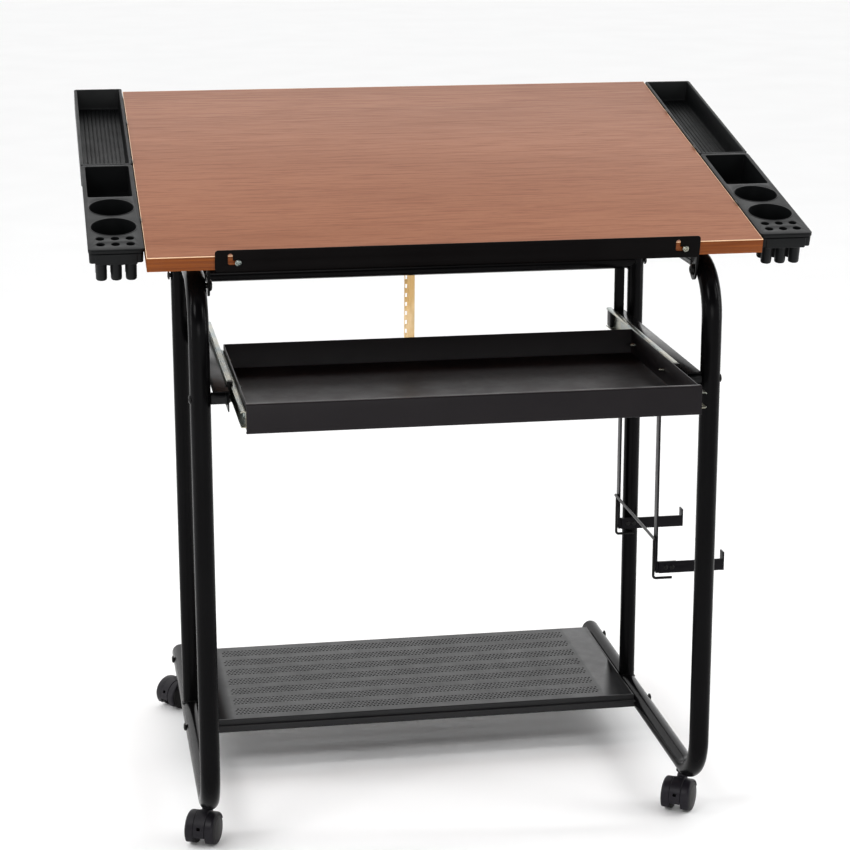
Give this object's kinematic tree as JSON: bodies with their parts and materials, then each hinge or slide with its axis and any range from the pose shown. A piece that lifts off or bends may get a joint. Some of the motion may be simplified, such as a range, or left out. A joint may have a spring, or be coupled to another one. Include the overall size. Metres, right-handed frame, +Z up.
{
  "type": "drafting table",
  "caption": "Tilting drafting table on a bent-tube frame with casters, side organiser trays, front ledge, sliding drawer, lower shelf and side folder rack.",
  "frame": {"origin": "on the floor under the centre of the whole table's bounding box", "axes": "+Z up, +X to the user's right along the board's width, -Y towards the user"},
  "size_m": [0.8984, 0.731, 0.923],
  "materials": {
    "frame_paint": "semi-gloss black powder coat",
    "black_hardware": "black plated",
    "rack_paint": "satin black",
    "cap_plastic": "satin",
    "shelf_paint": "satin black, fine texture",
    "ledge_paint": "satin black",
    "drawer_paint": "satin black",
    "zinc_plate": "clear zinc plate",
    "gold_plate": "yellow zinc plate",
    "board_laminate": "wood-grain laminate, matt",
    "edge_banding": "wood-grain edge band, glossy",
    "tray_plastic": "fine moulded texture",
    "clip_metal": "satin black",
    "caster_plastic": "satin",
    "wheel_plastic": "satin",
    "steel_pin": "bright steel"
  },
  "bodies": {
    "frame": {"side_tube_left": "frame_paint", "side_tube_right": "frame_paint", "rear_upright_left": "frame_paint", "rear_upright_right": "frame_paint", "top_cross_rail": "frame_paint", "hanger_strips": "frame_paint", "side_rail_left": "frame_paint", "side_rail_right": "frame_paint", "rail_spacers": "cap_plastic", "frame_bolts": "black_hardware", "tube_end_caps": "cap_plastic", "hinge_bolts": "black_hardware", "bottom_shelf": "shelf_paint", "rack_straps": "rack_paint", "rack_rests": "rack_paint", "rack_rivets": "black_hardware", "rack_rods": "black_hardware", "slide_outer_left": "zinc_plate", "slide_outer_right": "zinc_plate", "slide_stops": "cap_plastic", "stay_bracket": "gold_plate", "stem_sockets": "cap_plastic"},
    "board": {"board_panel": "board_laminate", "board_edge_band": "edge_banding", "hinge_brackets": "frame_paint", "board_screws": "zinc_plate", "tray_bin_left": "tray_plastic", "tray_bin_right": "tray_plastic", "tray_caddy_left": "tray_plastic", "tray_caddy_right": "tray_plastic", "tray_clips": "clip_metal", "stay_lug": "gold_plate", "stay_pin": "gold_plate"},
    "ledge": {"front_ledge": "ledge_paint"},
    "stay": {"stay_bar": "gold_plate"},
    "keeper": {"stay_keeper": "gold_plate", "stay_catch": "gold_plate"},
    "drawer": {"drawer_pan": "drawer_paint", "drawer_screws": "zinc_plate", "slide_inner_left": "zinc_plate", "slide_inner_right": "zinc_plate"},
    "cage_left": {"ball_cage_left": "zinc_plate"},
    "cage_right": {"ball_cage_right": "zinc_plate"},
    "caster_front_left": {"caster_hood_front_left": "caster_plastic", "caster_stem_front_left": "steel_pin"},
    "wheels_front_left": {"caster_wheels_front_left": "wheel_plastic", "caster_axle_front_left": "steel_pin"},
    "caster_front_right": {"caster_hood_front_right": "caster_plastic", "caster_stem_front_right": "steel_pin"},
    "wheels_front_right": {"caster_wheels_front_right": "wheel_plastic", "caster_axle_front_right": "steel_pin"},
    "caster_rear_left": {"caster_hood_rear_left": "caster_plastic", "caster_stem_rear_left": "steel_pin"},
    "wheels_rear_left": {"caster_wheels_rear_left": "wheel_plastic", "caster_axle_rear_left": "steel_pin"},
    "caster_rear_right": {"caster_hood_rear_right": "caster_plastic", "caster_stem_rear_right": "steel_pin"},
    "wheels_rear_right": {"caster_wheels_rear_right": "wheel_plastic", "caster_axle_rear_right": "steel_pin"}
  },
  "joints": [
    {"name": "board_tilt", "type": "hinge", "parent": "frame", "child": "board", "pos_m": [0, -0.21102, 0.74439], "axis": [1, 0, 0], "range_deg": [-12.44, 22.56]},
    {"name": "ledge_shift", "type": "slide", "parent": "board", "child": "ledge", "axis": [1, 0, 0], "range_m": [0, 0.0095]},
    {"name": "stay_swing", "type": "hinge", "parent": "board", "child": "stay", "pos_m": [0, 0.14599, 0.84363], "axis": [1, 0, 0], "range_deg": [-11, 6.1]},
    {"name": "keeper_turn", "type": "hinge", "parent": "frame", "child": "keeper", "pos_m": [0, 0.1545, 0.6926], "axis": [1, 0, 0], "range_deg": [-6.5, 11.7]},
    {"name": "drawer_slide", "type": "slide", "parent": "frame", "child": "drawer", "axis": [0, -1, 0], "range_m": [-0.14, 0.12]},
    {"name": "cage_left_roll", "type": "slide", "parent": "frame", "child": "cage_left", "axis": [0, -1, 0], "range_m": [-0.0705, 0.0605]},
    {"name": "cage_right_roll", "type": "slide", "parent": "frame", "child": "cage_right", "axis": [0, -1, 0], "range_m": [-0.0705, 0.0605]},
    {"name": "swivel_front_left", "type": "hinge", "parent": "frame", "child": "caster_front_left", "pos_m": [-0.321, -0.1735, 0.048], "axis": [0, 0, 1], "continuous": true},
    {"name": "roll_front_left", "type": "hinge", "parent": "caster_front_left", "child": "wheels_front_left", "pos_m": [-0.3271, -0.1872, 0.02], "axis": [0.9135, -0.4067, 0], "continuous": true},
    {"name": "swivel_front_right", "type": "hinge", "parent": "frame", "child": "caster_front_right", "pos_m": [0.321, -0.1735, 0.048], "axis": [0, 0, 1], "continuous": true},
    {"name": "roll_front_right", "type": "hinge", "parent": "caster_front_right", "child": "wheels_front_right", "pos_m": [0.31305, -0.18622, 0.02], "axis": [0.848, -0.5299, 0], "continuous": true},
    {"name": "swivel_rear_left", "type": "hinge", "parent": "frame", "child": "caster_rear_left", "pos_m": [-0.321, 0.3145, 0.048], "axis": [0, 0, 1], "continuous": true},
    {"name": "roll_rear_left", "type": "hinge", "parent": "caster_rear_left", "child": "wheels_rear_left", "pos_m": [-0.33314, 0.30568, 0.02], "axis": [0.5878, -0.809, 0], "continuous": true},
    {"name": "swivel_rear_right", "type": "hinge", "parent": "frame", "child": "caster_rear_right", "pos_m": [0.321, 0.3145, 0.048], "axis": [0, 0, 1], "continuous": true},
    {"name": "roll_rear_right", "type": "hinge", "parent": "caster_rear_right", "child": "wheels_rear_right", "pos_m": [0.31136, 0.30301, 0.02], "axis": [0.766, -0.6428, 0], "continuous": true}
  ],
  "couplings": [
    {"joint": "stay_swing", "follows": "board_tilt", "ratio": -0.484},
    {"joint": "keeper_turn", "follows": "board_tilt", "ratio": 0.516},
    {"joint": "cage_left_roll", "follows": "drawer_slide", "ratio": 0.5},
    {"joint": "cage_right_roll", "follows": "drawer_slide", "ratio": 0.5}
  ]
}
